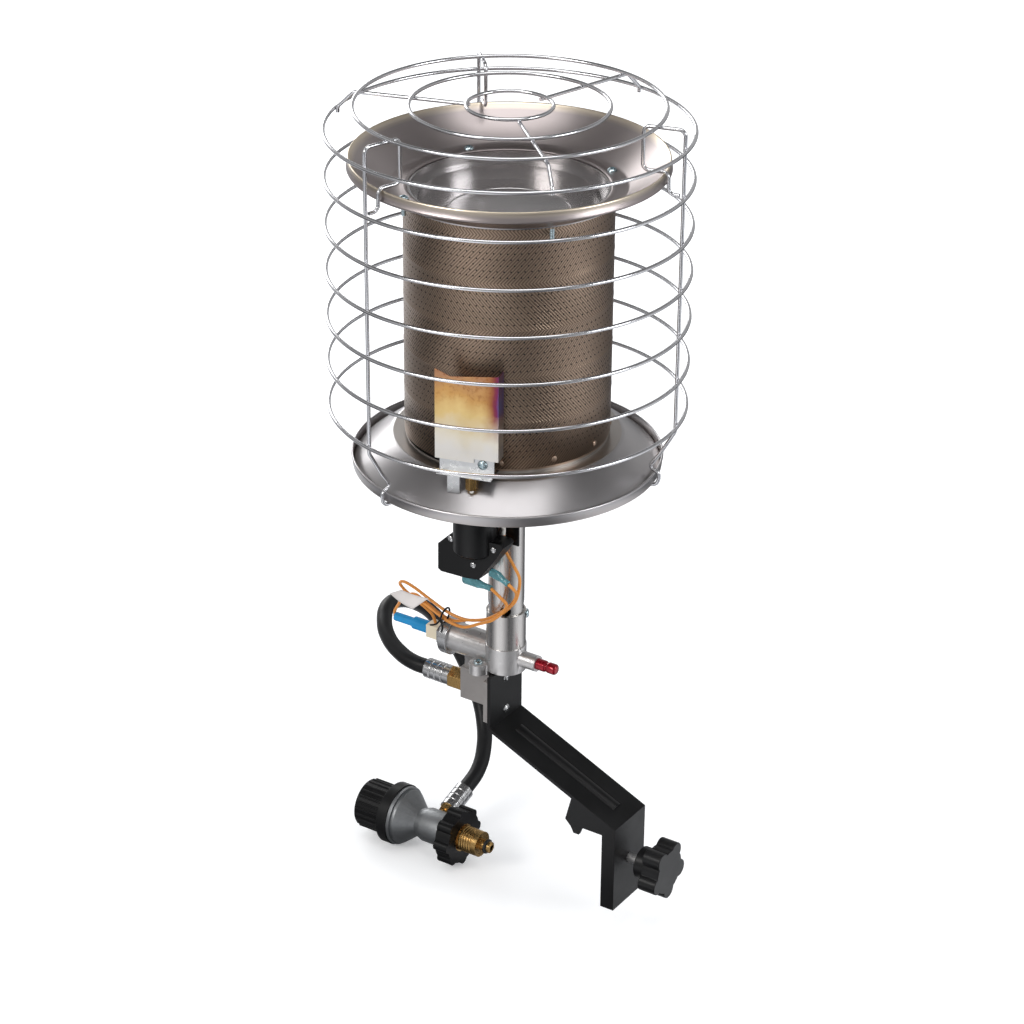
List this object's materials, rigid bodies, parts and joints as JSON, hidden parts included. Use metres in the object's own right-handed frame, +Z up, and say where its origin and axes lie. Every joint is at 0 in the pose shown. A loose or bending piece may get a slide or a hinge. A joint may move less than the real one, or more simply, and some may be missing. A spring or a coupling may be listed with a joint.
{
  "type": "portable propane heater",
  "caption": "Radiant gas heater with a wire guard, screen burner, tip-over switch, safety valve, hose and regulator, on a bracket that clamps to a gas tank's collar",
  "frame": {"origin": "the point where the bracket's cheeks sit on the rim of the tank's collar, midway across the bracket", "axes": "+Z up; +X along the bracket's arm, away from the burner and out through the clamp's star knob; +Y completes the right-handed frame"},
  "size_m": [0.3246, 0.283, 0.6937],
  "materials": {
    "guard_wire": "bright zinc plated wire",
    "reflector_steel": "polished pressed sheet, tinted gold by heat near the rim",
    "tan_sheet": "sheet steel darkened by heat",
    "screen_steel": "perforated sheet, taupe from heat",
    "zinc_plate": "zinc plated steel",
    "tube_steel": "bright steel tube",
    "tinted_steel": "steel tinted gold and purple by heat",
    "brass": "machined brass",
    "black_paint": "satin black powder coat",
    "black_plastic": "matte moulded plastic",
    "teal_sleeve": "clear teal sleeve",
    "orange_lead": "orange insulated wire",
    "white_paper": "plain white tag",
    "cast_alloy": "die cast alloy, lightly grained",
    "bright_nut": "bright plated nut",
    "beige_plastic": "beige moulded plastic",
    "blue_sleeve": "blue insulating sleeve",
    "red_plastic": "glossy red plastic",
    "seal_rubber": "moulded rubber",
    "hose_rubber": "black rubber hose"
  },
  "bodies": {
    "heater": {"guard_rings": "guard_wire", "grille_rings": "guard_wire", "guard_spokes": "guard_wire", "guard_uprights": "guard_wire", "upper_reflector": "reflector_steel", "lower_reflector": "reflector_steel", "burner_cap": "tan_sheet", "burner_screen": "screen_steel", "inner_screen": "screen_steel", "burner_base": "tan_sheet", "base_rivets": "zinc_plate", "reflector_screws": "zinc_plate", "burner_tube": "tube_steel", "heat_shield": "tinted_steel", "shield_bracket": "zinc_plate", "thermocouple": "brass", "switch_bracket": "black_paint", "switch_housing": "black_plastic", "switch_cover": "black_plastic", "spade_connectors": "teal_sleeve", "switch_screws": "zinc_plate", "thermocouple_lead": "orange_lead", "switch_leads": "orange_lead", "lead_tag": "white_paper", "lead_tie": "black_plastic", "tube_sleeve": "tube_steel", "small_screws": "zinc_plate", "gas_jet": "brass", "valve_body": "cast_alloy", "valve_end_cap": "cast_alloy", "magnet_unit": "zinc_plate", "magnet_nut": "bright_nut", "interrupter_block": "beige_plastic", "lead_terminal": "blue_sleeve", "button_spring": "zinc_plate", "inlet_block": "cast_alloy", "inlet_fitting": "brass", "ferrules": "zinc_plate", "hose": "hose_rubber", "hose_tail": "brass", "regulator_body": "cast_alloy", "regulator_bonnet": "black_plastic", "diaphragm": "seal_rubber", "regulator_spring": "zinc_plate", "connector_nose": "brass", "nose_seal": "seal_rubber", "bracket": "black_paint", "hook_bar": "black_paint", "bracket_screws": "zinc_plate", "threaded_insert": "zinc_plate"},
    "tilt_pendulum": {"tilt_weight": "zinc_plate"},
    "button": {"safety_button": "red_plastic", "valve_stem": "zinc_plate", "valve_disc": "seal_rubber"},
    "pressure_knob": {"control_knob": "black_plastic"},
    "connector": {"connector_nut": "brass", "handwheel": "black_plastic"},
    "clamp_foot": {"bolt_foot": "zinc_plate"},
    "clamp_screw": {"clamp_bolt": "zinc_plate", "star_knob": "black_plastic"}
  },
  "joints": [
    {"name": "tilt_swing", "type": "hinge", "parent": "heater", "child": "tilt_pendulum", "pos_m": [-0.107, -0.035, 0.263], "axis": [0, 1, 0], "range_deg": [-18, 18]},
    {"name": "button_press", "type": "slide", "parent": "heater", "child": "button", "axis": [-1, 0, 0], "range_m": [0, 0.006], "stiffness_N_per_m": 600, "springref_m": -0.004, "deforming": ["button_spring"]},
    {"name": "pressure_turn", "type": "hinge", "parent": "heater", "child": "pressure_knob", "pos_m": [-0.243, 0, -0.071], "axis": [-1, 0, 0], "range_deg": [-270, 0]},
    {"name": "connector_turn", "type": "hinge", "parent": "heater", "child": "connector", "pos_m": [-0.15, 0, -0.071], "axis": [1, 0, 0], "continuous": true},
    {"name": "clamp_travel", "type": "slide", "parent": "heater", "child": "clamp_foot", "axis": [1, 0, 0], "range_m": [-0.01, 0.0025]},
    {"name": "clamp_turn", "type": "hinge", "parent": "clamp_foot", "child": "clamp_screw", "pos_m": [0.023, 0, -0.029], "axis": [1, 0, 0], "range_deg": [-2880, 720]}
  ],
  "couplings": [
    {"joint": "clamp_travel", "follows": "clamp_turn", "m_per_rad": 0.00019894}
  ]
}
